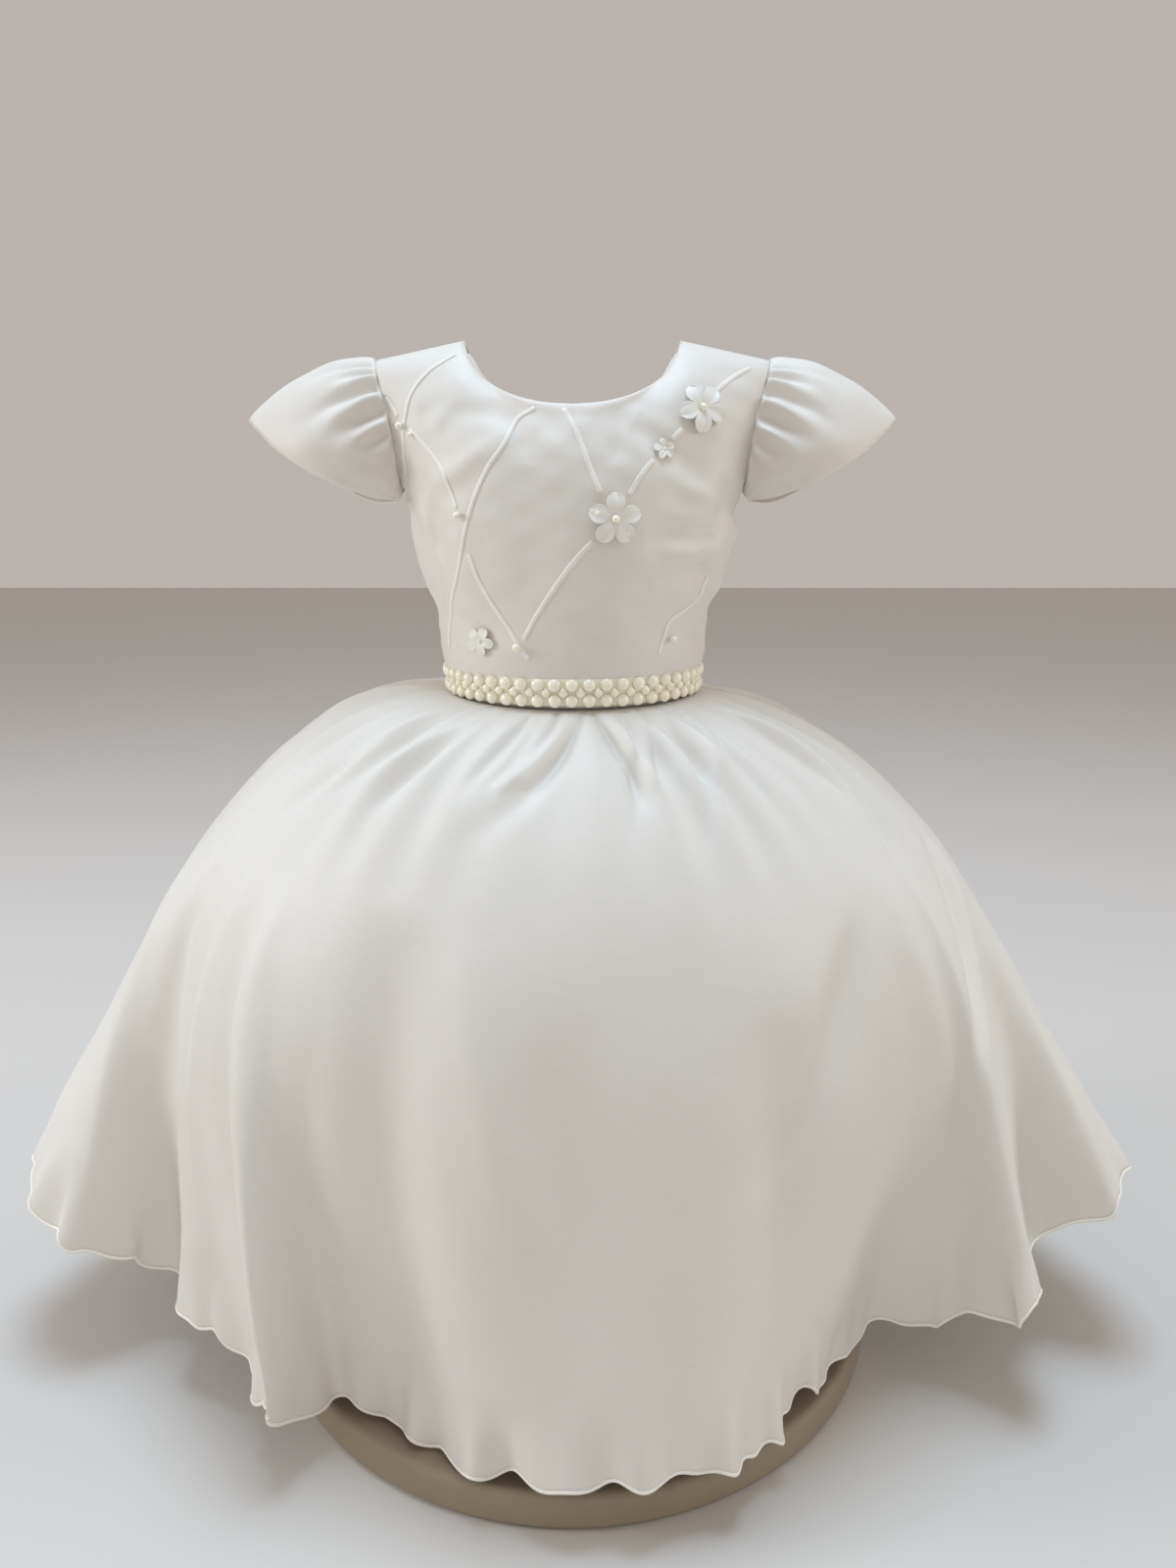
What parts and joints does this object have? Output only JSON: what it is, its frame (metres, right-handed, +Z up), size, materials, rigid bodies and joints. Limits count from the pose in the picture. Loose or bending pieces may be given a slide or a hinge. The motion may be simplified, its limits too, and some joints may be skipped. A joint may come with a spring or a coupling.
{
  "type": "party dress on a dress form",
  "caption": "Small child's ivory satin party dress with puffed cap sleeves, pearl belt, applied cords and flowers and a full gathered skirt, on a limbless dress form with a round base",
  "frame": {"origin": "middle of the base's flat underside, on the surface that it stands on", "axes": "+Z up, -Y the dress's front, +X the side at the right of the front view and the longest extent"},
  "size_m": [0.7241, 0.44, 0.639],
  "materials": {
    "satin": "soft satin",
    "applique": "satin cord",
    "button": "covered in satin",
    "pearl": "pearly gloss",
    "form_cover": "smooth matt",
    "pole": "brushed",
    "base": "painted taupe, matt"
  },
  "bodies": {
    "root": {"bodice_front": "satin", "bodice_back_left": "satin", "bodice_back_right": "satin", "sleeve_left": "satin", "sleeve_right": "satin", "skirt_front": "satin", "skirt_back_left": "satin", "skirt_back_right": "satin", "cord_1": "applique", "cord_2": "applique", "cord_3": "applique", "cord_4": "applique", "cord_5": "applique", "cord_6": "applique", "cord_7": "applique", "cord_8": "applique", "cord_9": "applique", "cord_10": "applique", "cord_11": "applique", "flower_chest": "applique", "flower_neck": "applique", "flower_small": "applique", "button_1": "button", "button_2": "button", "button_3": "button", "button_4": "button", "belt": "pearl", "form_torso": "form_cover", "form_pole": "pole", "form_base": "base"}
  },
  "joints": []
}
